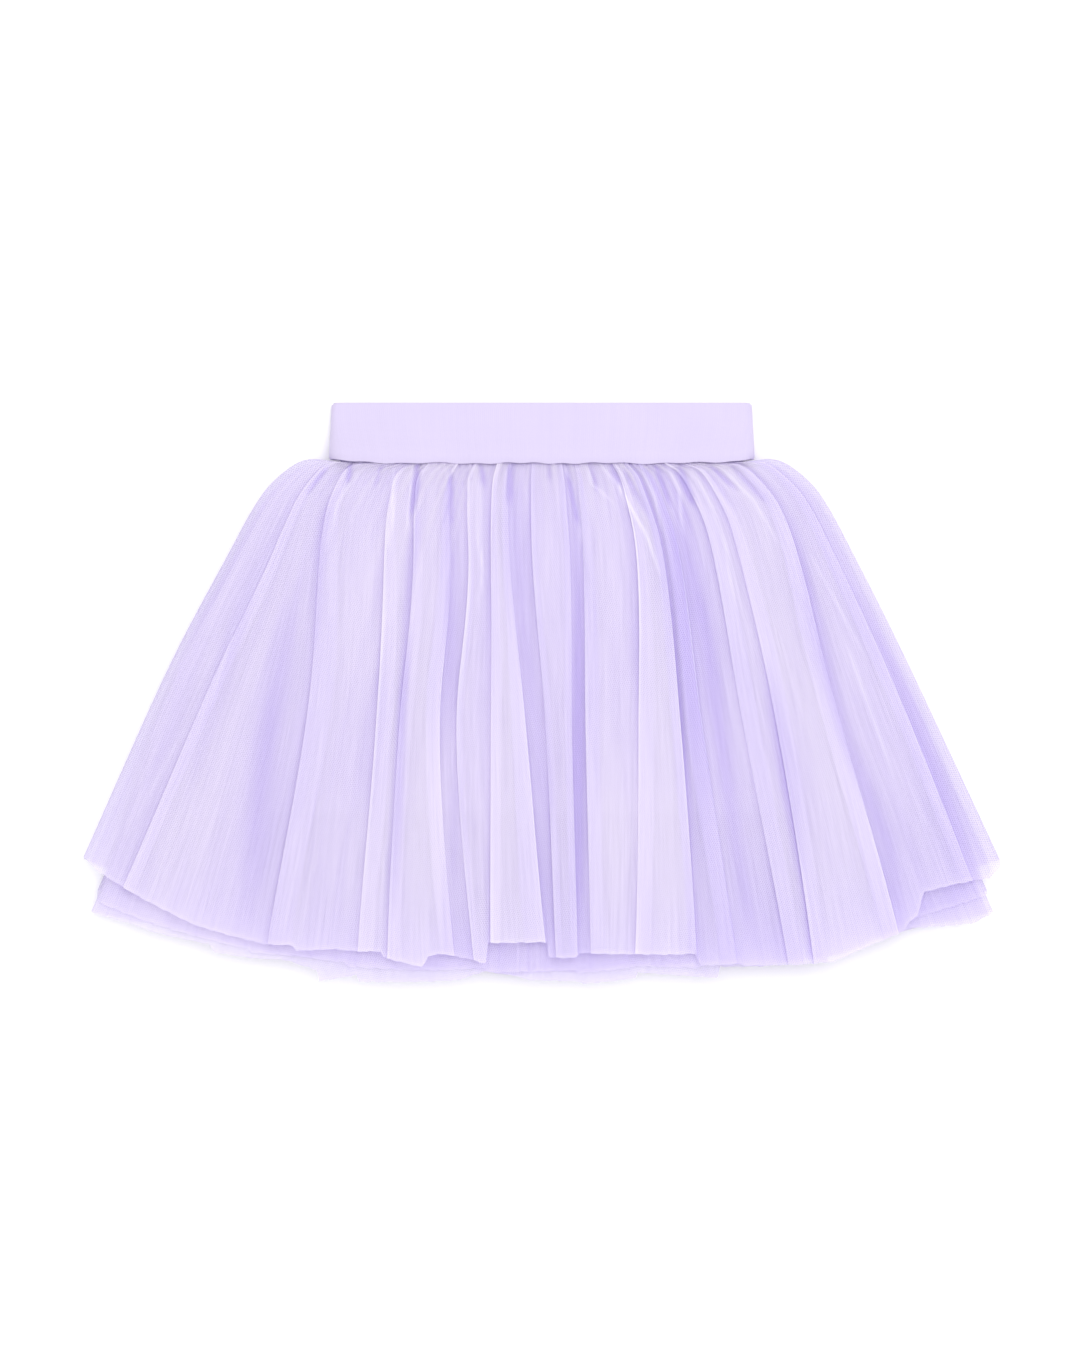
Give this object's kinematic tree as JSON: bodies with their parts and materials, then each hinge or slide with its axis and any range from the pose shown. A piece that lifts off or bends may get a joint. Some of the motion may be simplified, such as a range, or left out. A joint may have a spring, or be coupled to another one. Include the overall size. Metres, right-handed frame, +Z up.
{
  "type": "tulle skirt laid flat",
  "caption": "Child's gathered skirt of layered soft tulle on a wide plain elastic waistband, laid flat with its front facing up and its folds spread like a fan.",
  "frame": {"origin": "middle of the box that holds the skirt, on the surface that it lies on", "axes": "+X across the skirt to its right as seen from above, +Y from the hem to the waist, +Z up out of its front"},
  "size_m": [0.522, 0.3306, 0.0293],
  "materials": {
    "elastic": "smooth, dense, finely ribbed elastic, pale lilac, matt",
    "tulle": "soft fine net, pale lilac, see-through in one layer and milky in several",
    "lining": "plain thin knit, pale lilac, matt"
  },
  "bodies": {
    "root": {"waistband": "elastic", "tulle_outer": "tulle", "tulle_middle": "tulle", "tulle_inner": "tulle", "lining": "lining"}
  },
  "joints": []
}
